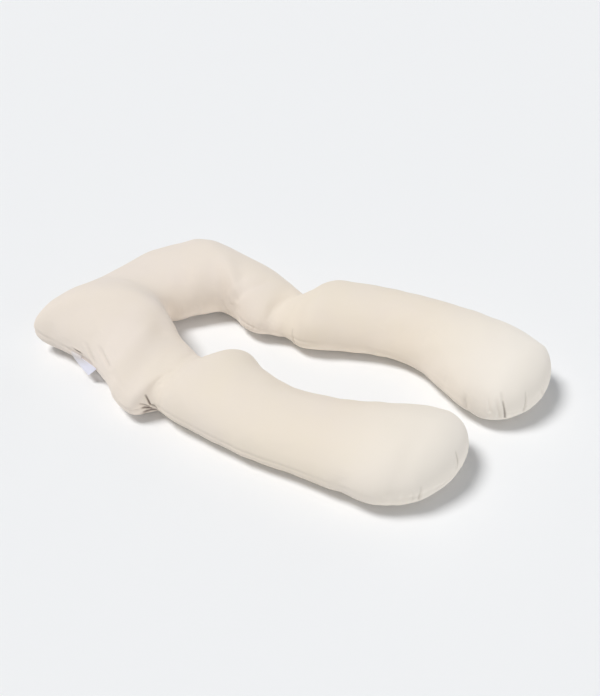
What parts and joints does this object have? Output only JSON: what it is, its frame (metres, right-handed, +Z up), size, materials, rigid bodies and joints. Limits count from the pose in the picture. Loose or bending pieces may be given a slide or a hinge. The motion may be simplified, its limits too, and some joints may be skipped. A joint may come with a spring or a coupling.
{
  "type": "body pillow",
  "caption": "U-shaped stuffed body pillow in smooth cotton, lying flat: a square plump head, slack necks and fat round-ended arms.",
  "frame": {"origin": "on the surface the pillow lies on, under the middle of its outline", "axes": "+Y from the arm ends towards the head, +X across the arms, +Z up from the surface it lies on"},
  "size_m": [0.8332, 1.361, 0.2052],
  "materials": {
    "cover_fabric": "smooth fine cotton jersey, cream, matt with a soft nap",
    "label_fabric": "plain white satin ribbon, bare"
  },
  "bodies": {
    "root": {"pillow": "cover_fabric", "side_label": "label_fabric"}
  },
  "joints": []
}
